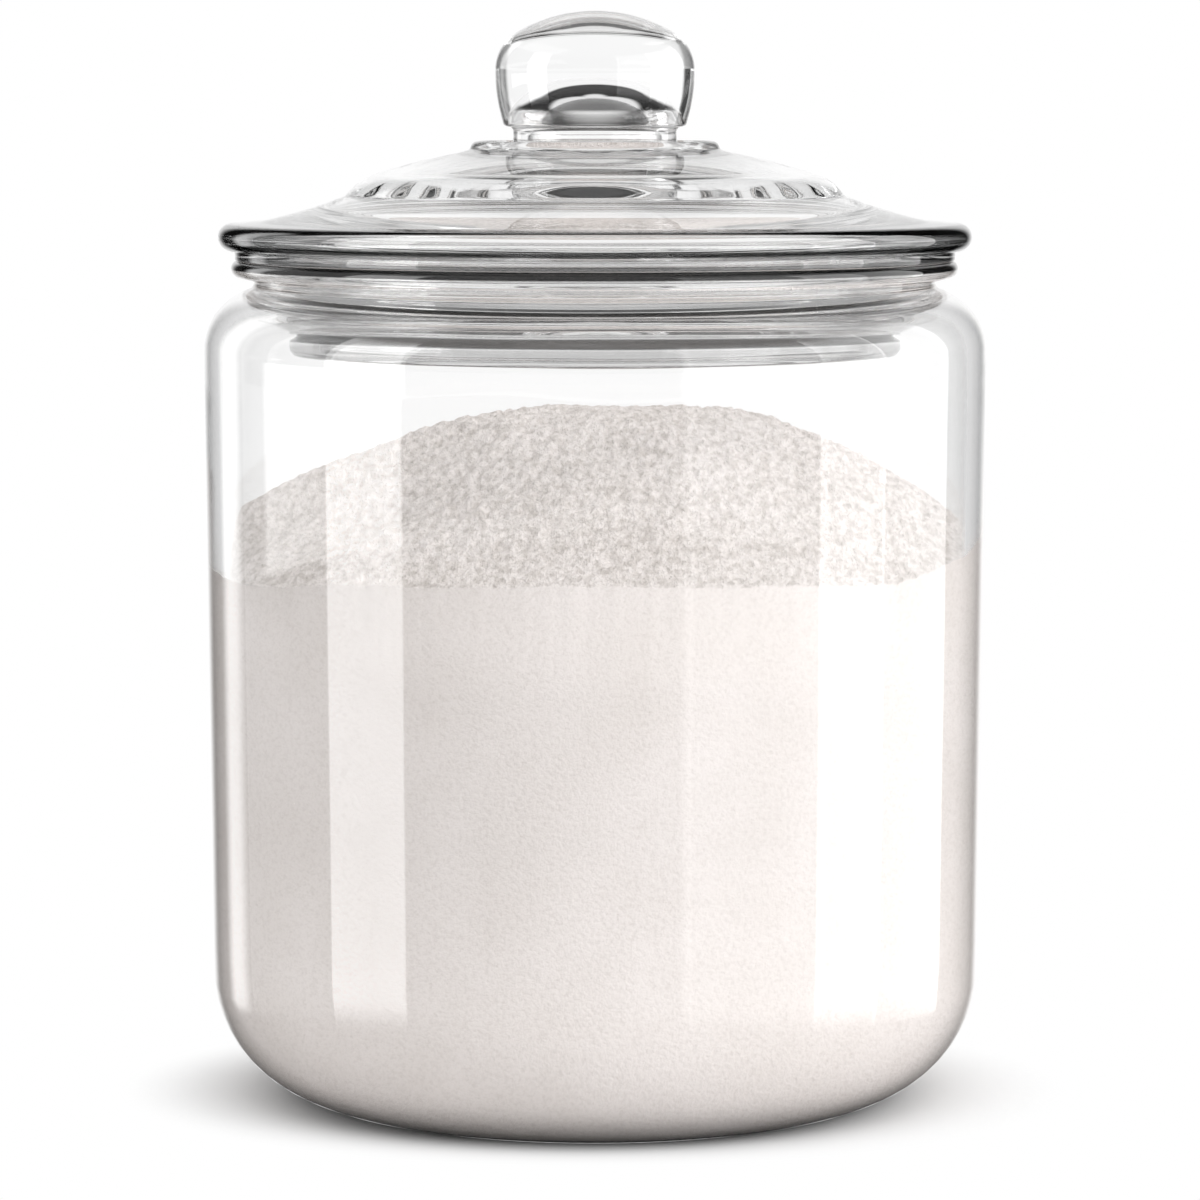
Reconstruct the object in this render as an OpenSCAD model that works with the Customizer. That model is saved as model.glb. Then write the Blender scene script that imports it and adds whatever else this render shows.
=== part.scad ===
// Wide-mouth glass storage jar of about one gallon, with a pressed glass lid, the clear
// sealing ring on the lid's plug, and the flour that the jar holds.
// Millimetres. The jar stands on Z = 0, and its axis is Z.

/* [Jar body] */
// Outside diameter of the body, just under the shoulder
body_d = 178; // [150:1:210]
// Height of the mouth's rim above the table
mouth_h = 191.5; // [150:0.5:240]
// How much less the body's radius is at the heel than at the shoulder
body_taper = 1.2; // [0:0.1:3]
// Thickness of the side wall
wall_t = 4; // [3:0.25:7]
// Thickness of the glass over the foot ring
floor_t = 5; // [4:0.5:10]
// Outside radius of the rounded heel
heel_r = 28.7; // [20:0.1:36]
// Outside radius of the shoulder
shoulder_r = 14.5; // [11:0.5:18]
// Rise of the hollow under the base
punt_h = 2; // [0.5:0.25:3.5]
// Width of the flat ring that the jar stands on
foot_w = 5; // [3:0.5:8]
// Number of grooves pressed across the foot ring
knurl_count = 120; // [60:1:130]
// Width of one foot groove
knurl_w = 1.3; // [0.8:0.1:1.5]
// Depth of the foot grooves
knurl_depth = 0.5; // [0.3:0.05:0.8]

/* [Mouth] */
// How far the neck stands in from the body's side
neck_in = 11.5; // [11:0.5:24]
// Thickness of the neck's wall
neck_t = 4.5; // [3.5:0.25:6]
// Straight height of the neck under its bead
neck_h = 1; // [0.5:0.5:8]
// Radius of the hollow curve between shoulder and neck
neck_fillet_r = 1.8; // [1:0.1:3]
// Height of the rolled bead round the mouth
bead_h = 4; // [3.5:0.5:9]
// How far the bead stands out from the neck
bead_out = 5.2; // [5:0.1:8]
// Rounding of the mouth's inner edges
lip_r = 1.6; // [0.8:0.1:2.4]

/* [Lid] */
// How far the lid's rim reaches past the bead
rim_over = 3; // [1:0.2:8]
// Thickness of the rounded rim
rim_t = 6.2; // [4:0.2:7]
// Height of the dome's top over the lid's seat, without the knob
dome_h = 25; // [22:0.5:34]
// Radius of curvature of the dome's upper face
dome_curve_r = 170; // [130:1:240]
// Radius of curvature of the dome's underside
under_curve_r = 130; // [110:1:180]
// Glass thickness at the middle of the dome
lid_t = 5; // [3.5:0.25:6.5]
// How far the dome's edge lies inside the plug's outer wall
dome_inset = 9.5; // [6:0.5:14]
// Rounding of the dome's outer edge
dome_edge_r = 12; // [8:0.5:14]
// Rounding inside, between the plug's wall and the dome's underside
under_edge_r = 5; // [3:0.5:8]

/* [Plug] */
// How far the plug reaches down below the lid's seat
plug_h = 23.5; // [19:0.5:30]
// Thickness of the plug's ring wall
plug_t = 5; // [3.5:0.25:6.5]
// Radial space between the plug and the mouth, which the seal fills
plug_gap = 5; // [4.25:0.25:6.5]
// How far the plug's lower bead stands out to hold the seal on
plug_bead_out = 1.8; // [1.2:0.1:2.2]
// Height of the plug's lower bead
plug_bead_h = 6.6; // [5.6:0.2:10]

/* [Knob] */
// Largest diameter of the knob
knob_d = 45.4; // [44:0.2:52]
// Height of the knob from its lower edge to its top
knob_h = 26.2; // [24:0.2:34]
// Radius of curvature of the knob's top
knob_cap_r = 35; // [29:0.5:60]
// Radius between the knob's top and side
knob_corner_r = 10; // [7:0.5:12]
// Diameter across the knob's lower edge
knob_foot_d = 41.8; // [41.4:0.2:43.4]
// Rounding of the knob's lower edge
knob_edge_r = 0.8; // [0.4:0.1:1.1]
// Diameter of the waist between knob and dome
waist_d = 37.2; // [32:0.2:37.8]
// Height of the waist
waist_h = 3.2; // [3:0.1:6]
// Radius of the hollow curve between the knob's underside and the waist
waist_fillet_r = 1.2; // [0.6:0.1:1.4]
// Diameter across the crest of the collar round the waist
collar_d = 53; // [50:0.5:64]
// Height of the collar's crest above the dome
collar_h = 1.9; // [0.6:0.1:2.4]
// Depth of the groove between waist and collar, below the crest
moat_depth = 2.6; // [0.8:0.1:3]
// Diameter of the hollow pressed up into the knob
hollow_d = 30; // [20:0.2:30]
// Height of the hollow's round roof, from the flare up
hollow_h = 16; // [12:0.5:18]
// Glass between the hollow's roof and the knob's top
hollow_roof_t = 14.7; // [9:0.1:16]

/* [Seal ring] */
// Thickness of the flange between mouth and lid
flange_t = 2; // [1:0.1:3]
// How far the flange stays back from the bead's outer edge
flange_back = 0.8; // [0.6:0.1:2.4]
// Wall thickness of the sleeve round the plug
sleeve_t = 1.4; // [1:0.1:1.8]
// Number of fins round the sleeve
fin_count = 3; // [2:1:4]
// Thickness of a fin where it leaves the sleeve
fin_root_t = 1.5; // [1.2:0.1:2]
// Thickness of a fin at its tip
fin_tip_t = 0.7; // [0.5:0.1:1]

/* [Flour] */
// Empty height between the plug and the top of the heap
headspace = 12.6; // [8:0.2:60]
// Slope of the heap's sides, in degrees
heap_slope = 26; // [10:1:32]
// Radius of curvature of the heap's top
heap_top_r = 140; // [30:5:180]
// How far the heap's top lies behind the jar's axis
heap_back = 15; // [0:1:20]
// How far the heap's top lies to the right of the axis
heap_side = 8; // [-12:1:12]

/* [Fits] */
// Running clearance between the seal and the glass on each side of it
seal_fit = 0.3; // [0.2:0.05:0.5]
// Gap between the flour and the glass
flour_fit = 0.3; // [0.2:0.05:0.5]

/* [Hidden] */
$fn = 180;
arc_step = 6;              // most degrees of an arc in one straight stretch of an outline
arc_run = 6;               // longest straight stretch that an arc is drawn with
cut_over = 1;              // overrun of a cut past the face that it opens

// Jar body, from the table up
body_r = body_d / 2;
base_r = body_r - body_taper;
foot_out_r = base_r - heel_r;
foot_in_r = foot_out_r - foot_w;
neck_r = body_r - neck_in;
mouth_r = neck_r - neck_t;
bead_r = neck_r + bead_out;
bead_z = mouth_h - bead_h / 2;
shoulder_x = body_r - shoulder_r;
shoulder_z = mouth_h - bead_h - neck_h - bend_rise(shoulder_x, shoulder_r, neck_r, neck_fillet_r);
punt_steps = 8;            // stretches in the hollow under the base

// Lid, from its seat on the seal's flange
seat_z = mouth_h + flange_t;
rim_x = bead_r + rim_over - rim_t / 2;
plug_r = mouth_r - plug_gap;
plug_in_r = plug_r - plug_t;
plug_z = seat_z - plug_h;
plug_bead_r = plug_r + plug_bead_out;
dome_z = seat_z + dome_h - dome_curve_r;
dome_r = plug_r - dome_inset;
under_z = seat_z + dome_h - lid_t - under_curve_r;
dome_foot_a = 32;          // degrees that the dome's edge still rises at, where the skirt begins
skirt_drop_shares = [[0.25, 0.375], [0.5, 0.69], [0.75, 0.95]];  // out and down along the skirt

// Collar, waist and knob, up from the dome
collar_r = collar_d / 2;
collar_dome_z = dome_z + height_on(dome_curve_r, collar_r);
collar_z = collar_dome_z + collar_h;
waist_r = waist_d / 2;
knob_z = collar_z + waist_h;
knob_top_z = knob_z + knob_h;
knob_r = knob_d / 2;
knob_foot_r = knob_foot_d / 2;
cap_z = knob_top_z - knob_cap_r;
corner_x = knob_r - knob_corner_r;
corner_z = cap_z + height_on(knob_cap_r - knob_corner_r, corner_x);
corner_a = acos(corner_x / (knob_cap_r - knob_corner_r));
side_drop = corner_z - knob_z - knob_edge_r;
side_in = knob_r - knob_foot_r;
side_r = (side_drop * side_drop + side_in * side_in) / (2 * side_in);
side_a = asin(side_drop / side_r);

// Hollow in the knob, and the flare that opens it into the dome
hollow_r = hollow_d / 2;
hollow_z = knob_top_z - hollow_roof_t - hollow_h;
hollow_full = 0.8;         // power that fills out the roof's section, 1 for a plain ellipse
flare_x = 2 * hollow_r;
flare_rise = hollow_z - under_z - height_on(under_curve_r, flare_x);

// Seal ring, from the mouth and the plug
sleeve_in_r = plug_r + seal_fit;
sleeve_r = sleeve_in_r + sleeve_t;
sleeve_z = plug_z + plug_bead_h + seal_fit;
fin_r = mouth_r - seal_fit;
flange_r = bead_r - flange_back;
fin_z = sleeve_z + fin_root_t;
fin_pitch = (mouth_h - lip_r - fin_root_t - fin_z) / fin_count;

// Flour, from the plug's end
heap_z = plug_z - headspace;
heap_reach = 2 * body_r;

// Height of a circle of radius r, centred on the axis, at distance x from the axis
function height_on(r, x) = sqrt(r * r - x * x);

// Points along an arc about c, from angle a0 to a1
function arc(c, r, a0, a1) =
    let (n = max(2, ceil(abs(a1 - a0) / arc_step), ceil(abs(a1 - a0) * PI / 180 * r / arc_run)))
    [for (i = [0 : n]) let (a = a0 + (a1 - a0) * i / n) [c[0] + r * cos(a), c[1] + r * sin(a)]];

function reversed(points) = [for (i = [len(points) - 1 : -1 : 0]) points[i]];

// A hollow arc at height z between radii x0 and x1, as deep as depth
function dip(x0, x1, z, depth) =
    let (h = (x1 - x0) / 2, r = (h * h + depth * depth) / (2 * depth), a = asin(h / r))
    arc([x0 + h, z - depth + r], r, 270 - a, 270 + a);

// A round edge of radius e inside a large circle of radius r about [0, z], reaching out to
// radius x, from where it leaves the circle down to angle a1
function round_edge(z, r, x, e, a1) =
    arc([x - e, z + height_on(r - e, x - e)], e, acos((x - e) / (r - e)), a1);

// An outline that turns in over a round shoulder of radius r about [x, z], then up along a
// wall at radius wall_x through a hollow curve of radius f. bend_rise is the height from the
// shoulder's centre to the start of the straight wall.
function bend_angle(x, r, wall_x, f) = acos(max(0, wall_x + f - x) / (r + f));
function bend_rise(x, r, wall_x, f) = (r + f) * sin(bend_angle(x, r, wall_x, f));
function bend(x, z, r, wall_x, f) =
    let (a = bend_angle(x, r, wall_x, f))
    concat(arc([x, z], r, 0, a),
           arc([wall_x + f, z + bend_rise(x, r, wall_x, f)], f, a + 180, 180));

// The jar's inside from the middle of the floor up to the shoulder, drawn in by a clearance
function inside_low(gap) = concat(
    [[0, floor_t + gap]],
    arc([foot_out_r, heel_r + floor_t - wall_t], heel_r - wall_t - gap, -90, 0),
    [[body_r - wall_t - gap, shoulder_z]]);

// Cross-section of the jar: under the base, up the outside, over the mouth and down the inside
function jar_section() = concat(
    [for (i = [0 : punt_steps - 1]) let (s = i / punt_steps) [foot_in_r * s, punt_h * (1 - s * s)]],
    [[foot_in_r, 0]],
    arc([foot_out_r, heel_r], heel_r, -90, 0),
    bend(shoulder_x, shoulder_z, shoulder_r, neck_r, neck_fillet_r),
    arc([bead_r - bead_h / 2, bead_z], bead_h / 2, -90, 90),
    arc([mouth_r + lip_r, mouth_h - lip_r], lip_r, 90, 180),
    reversed(bend(shoulder_x, shoulder_z, shoulder_r - wall_t, mouth_r, lip_r)),
    reversed(inside_low(0)));

// Upper side of the lid, from the top of the knob out and down to the rim's underside
function lid_upper() =
    let (edge = round_edge(dome_z, dome_curve_r, dome_r, dome_edge_r, dome_foot_a),
         edge_a = acos((dome_r - dome_edge_r) / (dome_curve_r - dome_edge_r)),
         foot = edge[len(edge) - 1],
         rim_top_z = seat_z + rim_t)
    concat(
        arc([0, cap_z], knob_cap_r, 90, corner_a),
        arc([corner_x, corner_z], knob_corner_r, corner_a, 0),
        arc([knob_r - side_r, corner_z], side_r, 0, -side_a),
        arc([knob_foot_r - knob_edge_r, knob_z + knob_edge_r], knob_edge_r, 0, -90),
        arc([waist_r + waist_fillet_r, knob_z - waist_fillet_r], waist_fillet_r, 90, 180),
        dip(waist_r, collar_r, collar_z, moat_depth),
        arc([collar_r, collar_dome_z], collar_h, 90, 0),
        arc([0, dome_z], dome_curve_r, acos((collar_r + 2 * collar_h) / dome_curve_r), edge_a),
        edge,
        [for (s = skirt_drop_shares)
            [foot[0] + (rim_x - foot[0]) * s[0], foot[1] + (rim_top_z - foot[1]) * s[1]]],
        arc([rim_x, seat_z + rim_t / 2], rim_t / 2, 90, -90));

// Underside of the lid, from the plug's outer wall in and up to the roof of the hollow
function lid_under() =
    let (end_r = plug_t / 2,
         edge_a = acos((plug_in_r - under_edge_r) / (under_curve_r - under_edge_r)))
    concat(
        [[plug_r, seat_z],
         [plug_r, plug_z + plug_bead_h],
         [plug_bead_r, plug_z + plug_bead_h - plug_bead_out],
         [plug_bead_r, plug_z + end_r]],
        arc([plug_bead_r - end_r, plug_z + end_r], end_r, -10, -90),
        arc([plug_in_r + end_r, plug_z + end_r], end_r, -90, -180),
        reversed(round_edge(under_z, under_curve_r, plug_in_r, under_edge_r, 0)),
        arc([0, under_z], under_curve_r, edge_a, acos(flare_x / under_curve_r)),
        [for (p = arc([0, 0], 1, -90, -180))
            [flare_x + (flare_x - hollow_r) * p[0], hollow_z + flare_rise * p[1]]],
        [for (p = arc([0, 0], 1, 0, 90))
            [hollow_r * pow(abs(p[0]), hollow_full), hollow_z + hollow_h * pow(abs(p[1]), hollow_full)]]);

module jar_body() {
    color([0.86, 0.91, 0.9, 0.4])
    difference() {
        rotate_extrude() polygon(jar_section());
        foot_knurl();
    }
}

// Short radial grooves across the outer half of the foot ring and the start of the heel
module foot_knurl() {
    groove_l = foot_w / 2 + height_on(heel_r, heel_r - knurl_depth);
    for (i = [0 : knurl_count - 1])
        rotate([0, 0, i * 360 / knurl_count])
            translate([foot_out_r - foot_w / 2, -knurl_w / 2, -cut_over])
                cube([groove_l, knurl_w, knurl_depth + cut_over]);
}

module lid() {
    color([0.88, 0.93, 0.93, 0.4])
    rotate_extrude() polygon(concat(lid_upper(), lid_under()));
}

// Flange on the mouth, sleeve round the plug, and thin fins that reach the neck
module seal_ring() {
    color([0.93, 0.94, 0.93, 0.6])
    rotate_extrude() {
        translate([sleeve_in_r, mouth_h]) square([flange_r - sleeve_in_r, flange_t]);
        translate([sleeve_in_r, sleeve_z]) square([sleeve_t, mouth_h + flange_t - sleeve_z]);
        for (i = [0 : fin_count - 1])
            translate([0, fin_z + i * fin_pitch]) polygon([
                [sleeve_r - sleeve_t / 2, -fin_root_t / 2],
                [fin_r, fin_root_t / 2],
                [fin_r, fin_root_t / 2 + fin_tip_t],
                [sleeve_r - sleeve_t / 2, fin_root_t]]);
    }
}

// The flour fills the inside up to a heap, a low cone with a rounded top
module flour() {
    top_x = heap_top_r * sin(heap_slope);
    top_z = heap_z - heap_top_r * (1 - cos(heap_slope));
    color([0.93, 0.91, 0.88])
    intersection() {
        rotate_extrude() polygon(concat(inside_low(flour_fit), [[0, shoulder_z]]));
        translate([heap_side, heap_back, 0]) rotate_extrude() polygon(concat(
            arc([0, heap_z - heap_top_r], heap_top_r, 90, 90 - heap_slope),
            [[heap_reach, top_z - (heap_reach - top_x) * tan(heap_slope)],
             [heap_reach, -heap_reach],
             [0, -heap_reach]]));
    }
}

jar_body();
lid();
seal_ring();
flour();
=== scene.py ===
"""A wide-mouth glass storage jar: the body, the pressed glass lid, the clear sealing ring and the flour."""

import bpy
import numpy as np
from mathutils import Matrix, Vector


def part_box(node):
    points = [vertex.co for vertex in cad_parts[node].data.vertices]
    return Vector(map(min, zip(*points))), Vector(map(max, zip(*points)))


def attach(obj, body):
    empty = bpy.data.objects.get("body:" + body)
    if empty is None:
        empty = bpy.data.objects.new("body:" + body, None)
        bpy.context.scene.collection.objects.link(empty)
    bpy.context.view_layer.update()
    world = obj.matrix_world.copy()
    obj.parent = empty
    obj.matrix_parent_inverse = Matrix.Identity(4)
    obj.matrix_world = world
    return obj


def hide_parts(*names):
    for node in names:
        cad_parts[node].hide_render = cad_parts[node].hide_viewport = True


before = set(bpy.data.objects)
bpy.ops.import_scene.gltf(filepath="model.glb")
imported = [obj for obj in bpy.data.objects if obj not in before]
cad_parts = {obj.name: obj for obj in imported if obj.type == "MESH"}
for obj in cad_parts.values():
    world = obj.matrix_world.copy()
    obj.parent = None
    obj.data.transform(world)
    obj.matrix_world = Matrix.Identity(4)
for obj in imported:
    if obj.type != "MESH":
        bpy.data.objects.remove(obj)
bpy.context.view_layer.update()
MM = 0.001  # lengths are in millimetres where nothing else is said

# Heights that come from the frame
_, JAR_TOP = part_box("jar_body")
_, SEAL_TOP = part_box("seal_ring")
LID_LOW, LID_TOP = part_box("lid")
_, FLOUR_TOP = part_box("flour")
MOUTH_Z = JAR_TOP.z / MM
SEAT_Z = SEAL_TOP.z / MM
PLUG_Z = LID_LOW.z / MM
KNOB_TOP_Z = LID_TOP.z / MM
HEAP_Z = FLOUR_TOP.z / MM

# Jar body
BODY_R = 89.0
TAPER = 1.2
WALL = 4.0
FLOOR = 5.0
HEEL_R = 28.7
SHOULDER_R = 14.5
PUNT = 2.0
FOOT_W = 5.0
KNURLS = 120
KNURL_DEPTH = 0.5
KNURL_SHARE = 0.42  # width of a groove, of the pitch of the grooves
KNURL_REACH = 8.0  # how far the grooves go beyond the foot, round the heel
MOUTH_R = 73.0
NECK = 4.5
NECK_H = 1.0
NECK_FILLET = 1.8
BEAD_H = 4.0
BEAD_OUT = 5.2
LIP_R = 1.6
BASE_R = BODY_R - TAPER
FOOT_R = BASE_R - HEEL_R
NECK_R = MOUTH_R + NECK
BEAD_R = NECK_R + BEAD_OUT

# Lid
RIM_OVER = 3.0
RIM_T = 6.2
DOME_H = 25.0
DOME_CURVE = 170.0
UNDER_CURVE = 130.0
DOME_T = 5.0
DOME_EDGE = 12.0
DOME_FOOT = 32.0  # degrees at which the dome's rounded edge meets the skirt
UNDER_EDGE = 5.0
SKIRT_OUT = (0.25, 0.5, 0.75)  # shares of the way out from the dome's edge to the rim
SKIRT_DOWN = (0.375, 0.69, 0.95)  # shares of the way down that the hollow skirt has gone by then
PLUG_R = 68.0
PLUG_T = 5.0
PLUG_BEAD = 1.8
PLUG_BEAD_H = 6.6
DOME_R = 58.5
KNOB_R = 22.7
KNOB_FOOT_R = 20.9
KNOB_H = 26.2
KNOB_CAP = 35.0
KNOB_CORNER = 10.0
KNOB_EDGE = 0.8
WAIST_R = 18.6
WAIST_FILLET = 1.2
COLLAR_R = 26.5
COLLAR_H = 1.9
MOAT = 2.6
HOLLOW_R = 15.0
HOLLOW_H = 16.0
HOLLOW_ROOF = 14.7
HOLLOW_FULL = 0.8  # power that makes the hollow's section fuller than an ellipse, which is 1

# Sealing ring
SEAL_FIT = 0.3
SLEEVE_T = 1.4
FLANGE_R = 81.9
FINS = 3
FIN_ROOT = 1.5
FIN_TIP = 0.7

# Ripple of the glass: the strength of each wave, how many there are round the circle, how far it turns for
# each millimetre up, in radians, and where it starts
JAR_WAVES = ((1.0, 3, 0.021, 0.4), (0.7, 5, -0.05, 2.1), (0.5, 9, 0.09, 1.2), (0.3, 14, -0.17, 0.0))
JAR_WAVE = 0.012  # height of the jar's waves outside
JAR_WAVE_INSIDE = 0.05  # how much higher they are inside
WAVE_FROM = 12.0  # height up to which they grow outside, and from which on they grow inside
WAVE_OVER = 20.0  # height over which they grow inside
LID_WAVES = ((1.0, 2, 0.31, 0.9), (0.8, 5, -0.43, 2.6), (0.3, 9, 0.5, 0.2))
LID_WAVE = 0.03  # height of the lid's waves
LID_WAVE_OVER = 30.0  # distance from the knob over which they grow
LID_WAVE_LEAST = 0.1  # share of their height that is left on the knob

# Flour
FLOUR_GAP = -0.2  # room between glass and flour: less than none, as packed flour touches the glass
HEAP_AT = (8.0, 15.0)  # where the heap's top is
EDGE_ANGLES = (-180, -135, -100, -80, -62, -30, 0, 30, 47, 68, 90, 125, 180)  # round from the front
EDGE_HEIGHTS = (136, 136, 134, 122, 121, 124, 125, 124, 122.5, 126, 132, 135.5, 136)  # of the flour there
ROUND_TOP = 2.0  # power of the share of the way from the peak to the glass that the heap falls by
TOE = 0.55  # how much of the fall in front is eased out towards the glass
ROWS_GATHER = 0.9  # power of the share that gathers the rows of the top towards the glass
CROWN = 0.05  # how far the highest crumb stays below the top of the solid
DENT_AT = (-44.0, -22.0)  # the middle of the dent on the heap's front slope
DENT_WIDE = 24.0
DENT_DEEP = 3.5
DOWNHILL = 0.6  # how much shorter the heap's lumps are across the slope than down it

# Relief of the heap: the height and size of each pattern, and the seed of its draw
SWELLS = ((1.2, 27, 3), (0.7, 11, 5))
CRUMBS = ((1.0, 3.2, 7), (0.7, 1.8, 11))
GRAINS = (0.3, 1.1, 13)
PATCHES = (0.4, 19, 17)  # how crumbs and grains differ in height from place to place
PATCH_MEAN = 1.1
LATTICE = 128  # cells after which a pattern comes again

# Glass
GLASS_IOR = 1.5
GLASS_SOAK = 1.2  # light soaked up, per metre
GLASS_STAIN = (0.0, 0.02, 0.015, 1)  # the colour that is soaked up least
GLASS_CLEAR = 0.97  # share of the lamps' and bounced light that a surface lets through
FOOT_CLEAR = 0.2  # the same at the foot
FOOT_CLEAR_TO = 8.0  # height up to which the foot is darker

# Painted shade of the glass's dark edges against its surround: the slant of the surface, from seen square on
# at 0 to seen along it at 1, and the tint there
JAR_OUTLINE = ((0.66, 1.0), (0.84, 0.62), (0.93, 0.62), (1.0, 0.95))
LID_OUTLINE = ((0.55, 1.0), (0.76, 0.35), (0.95, 0.3), (1.0, 0.9))
# Heights between which those tints count, and the height over which they fade
JAR_OUTLINED = (-50.0, 176.0, 12.0)
LID_OUTLINED = (216.0, 237.0, 4.0)

# Rings of painted shade on the glass, at crevices, on the plug's bead and at the foot: the heights between
# which each lies, the radius beyond which it lies, and its tint
JAR_SHADES = (
    (MOUTH_Z - 1.9, MOUTH_Z - 0.3, BEAD_R - 1.8, 0.001),
    (-1.0, 1.9, 50.0, 0.06))
LID_SHADES = (
    (SEAT_Z + 1.0, SEAT_Z + 1.8, BEAD_R - 0.5, 0.02),
    (PLUG_Z + 4.6, PLUG_Z + 6.7, PLUG_R - 2.0, 0.02),
    (PLUG_Z, PLUG_Z + 4.0, PLUG_R - 2.0, 0.6))
SEAL_SHADE = (MOUTH_Z, MOUTH_Z + 0.8, FLANGE_R - 1.6, 0.12)  # painted shade where the flange is pressed on the mouth
SHADE_SOFT = 0.4  # height over which a ring of painted shade on the glass fades
SEAL_SHADE_SOFT = 0.1

# Plastic of the seal
SEAL_IOR = 1.45
SEAL_TINT = 0.97
SEAL_CLOUDS = 60.0  # clouds in a metre, which make it rough in places
SEAL_CLOUDED = (0.3, 0.7, 0.0, 0.05)  # the clouds' thin and thick, and the roughness at each
SEAL_SOAK = 10.0
SEAL_STAIN = (0.0, 0.0, 0.0, 1)
SEAL_CLEAR = 0.75

# Paint of the flour: patterns in a metre, and the tint at a low and at a high value of each
MOTTLES = 38.0
MOTTLED = ((0.35, (0.84, 0.785, 0.755)), (0.7, (0.90, 0.845, 0.82)))
GRAIN = 1000.0
# Painted shade in the grain's creases, where its bump is low
GRAIN_CREASE_SHADE = ((0.34, (0.86, 0.85, 0.84)), (0.52, 1.0))
SPECKS = 2400.0
SPECK_TINT = ((0.30, (0.88, 0.87, 0.86)), (0.48, 1.0))
CLODS = 560.0
CLOD_TINT = ((0.36, (0.80, 0.79, 0.775)), (0.56, 1.0))
GRAIN_DRAWN = 0.45  # share of the length down the slope that counts, which draws the grain out
FINE_PRESSED = 0.45  # share of the grain and specks that shows on the pressed flour
BUMP_PRESSED = 0.00025  # depth of the bump on the pressed flour, in metres
BUMP_LOOSE = 0.0011
PRESSED_TONES = (10.0, 70.0, 1.03, 0.91)  # painted light and shade: two heights on the glass, and the flour's tone at each
FLOUR_ROUGH = 0.95
FLOUR_SHEEN = 0.1  # its specular level

# Floor
FLOOR_HALF = 6.0  # half its width, in metres
FLOOR_TONE = 0.76
FLOOR_FRONT = 0.45  # strength of the floor in front of the jar, as the glass sees it
# How far the floor keeps its shade, as the eye and as the glass sees it: the share of the distance across
# that counts, and the distances in metres between which it turns white
FLOOR_FADE = (0.78, 0.060, 0.086)
FLOOR_FADE_IN_GLASS = (1.0, 0.100, 0.150)

# Studio. Azimuths are round from the front, positive to the right, and elevations up from the horizon
SKY = 0.46  # strength of the even light at the horizon
SKY_RISE = 0.72  # how much stronger it is overhead
ROOM = 0.015  # strength of the room in front of the jar
BACKDROP = (124.0, 132.0)  # azimuths between which the room gives way to the white backdrop
BACKDROP_MIRRORED = (155.0, 168.0)  # the same for what the surface mirrors
OVERHEAD = (30.0, 38.0)  # elevations between which all that gives way to the ceiling
CEILING = 0.01  # strength of the dark ceiling behind
SOFTBOX_LIGHT = 0.85  # strength of the lit ceiling in front and straight overhead
FRONT_CEILING = (128.0, 112.0)  # azimuths between which the dark ceiling gives way to the lit one
SOFTBOX = (74.0, 82.0)  # elevations between which it does so behind
TABLE = (-18.0, -12.5)  # elevations between which a mirrored table gives way to what stands round it
TABLE_LIGHT = 0.04
BAND = (-6.1, -1.0, 0.15)  # elevations of the lit band over the edge of the table, and its softness
BAND_LIGHT = 0.8
BAND_LEFT = 1.6  # how much more of it there is on the left
BAND_LEFT_AT = (-125.0, -58.0, 1.0)  # azimuths between which that is, and the softness
BAND_FORWARD = (114.0, 110.0)  # azimuths between which the band sets in, towards the front
PANEL_RISE = (-40.0, 50.0, 6.0)  # elevations between which the panels stand, and their softness

# Light panels round the jar, as refracted and as mirrored rays see them: the azimuths between which each
# stands, its strength and its softness in degrees
PANELS = (
    (-58.0, 28.0, 0.8, 1.0),
    (-84.0, -58.0, 4.0, 1.0),
    (28.0, 69.0, 1.9, 4.0),
    (-114.0, -84.0, 1.0, 1.0),
    (69.0, 114.0, 1.0, 1.0))
PANELS_MIRRORED = (
    (-125.0, 28.0, 0.6, 1.0),
    (-84.0, -58.0, 4.6, 1.0),
    (28.0, 69.0, 1.9, 4.0),
    (69.0, 93.0, 4.2, 1.0),
    (93.0, 125.0, 2.4, 1.0),
    (-137.0, -133.0, 2.2, 9.0))

# Lamps that light the flour and the floor: place, width and height in metres, and watts
LAMPS = (
    ("key", (1.3, -0.8, 0.9), (0.9, 1.2), 17),
    ("fill", (-1.2, -0.9, 0.7), (0.8, 1.0), 2))
LAMPS_AIM = (0, 0, 0.1)

# Camera: focal length in millimetres, and places in metres
LENS = 144.48
SENSOR = 36.0
CAMERA_AWAY = 1.1
CAMERA_X = 0.00114
CAMERA_Z = 0.2282
AIM_Z = 0.1133


def height_on(radius, x):
    """Height of a circle about the axis at the distance x from it."""
    return np.sqrt(radius * radius - x * x)


def arc(centre, radius, start, end, count=24):
    """Points of a circle about centre from the angle start to the angle end, in degrees."""
    a = np.radians(np.linspace(start, end, count))
    return np.column_stack([centre[0] + radius * np.cos(a), centre[1] + radius * np.sin(a)])


def round_edge(z, radius, x, edge, end):
    """An arc of radius edge that leaves the large circle about (0, z) from inside and reaches out to x."""
    start = np.degrees(np.arccos((x - edge) / (radius - edge)))
    return arc((x - edge, z + height_on(radius - edge, x - edge)), edge, start, end)


def bend_rise(x, radius, wall, fillet):
    """Height from a shoulder's centre to the start of the upright wall over it."""
    a = np.arccos(max(0.0, wall + fillet - x) / (radius + fillet))
    return (radius + fillet) * np.sin(a)


def bend(x, z, radius, wall, fillet):
    """A shoulder that turns in over an arc about (x, z), then up a wall through a hollow arc."""
    a = np.degrees(np.arccos(max(0.0, wall + fillet - x) / (radius + fillet)))
    rise = bend_rise(x, radius, wall, fillet)
    return np.vstack([
        arc((x, z), radius, 0, a),
        arc((wall + fillet, z + rise), fillet, a + 180, 180)])


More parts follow.
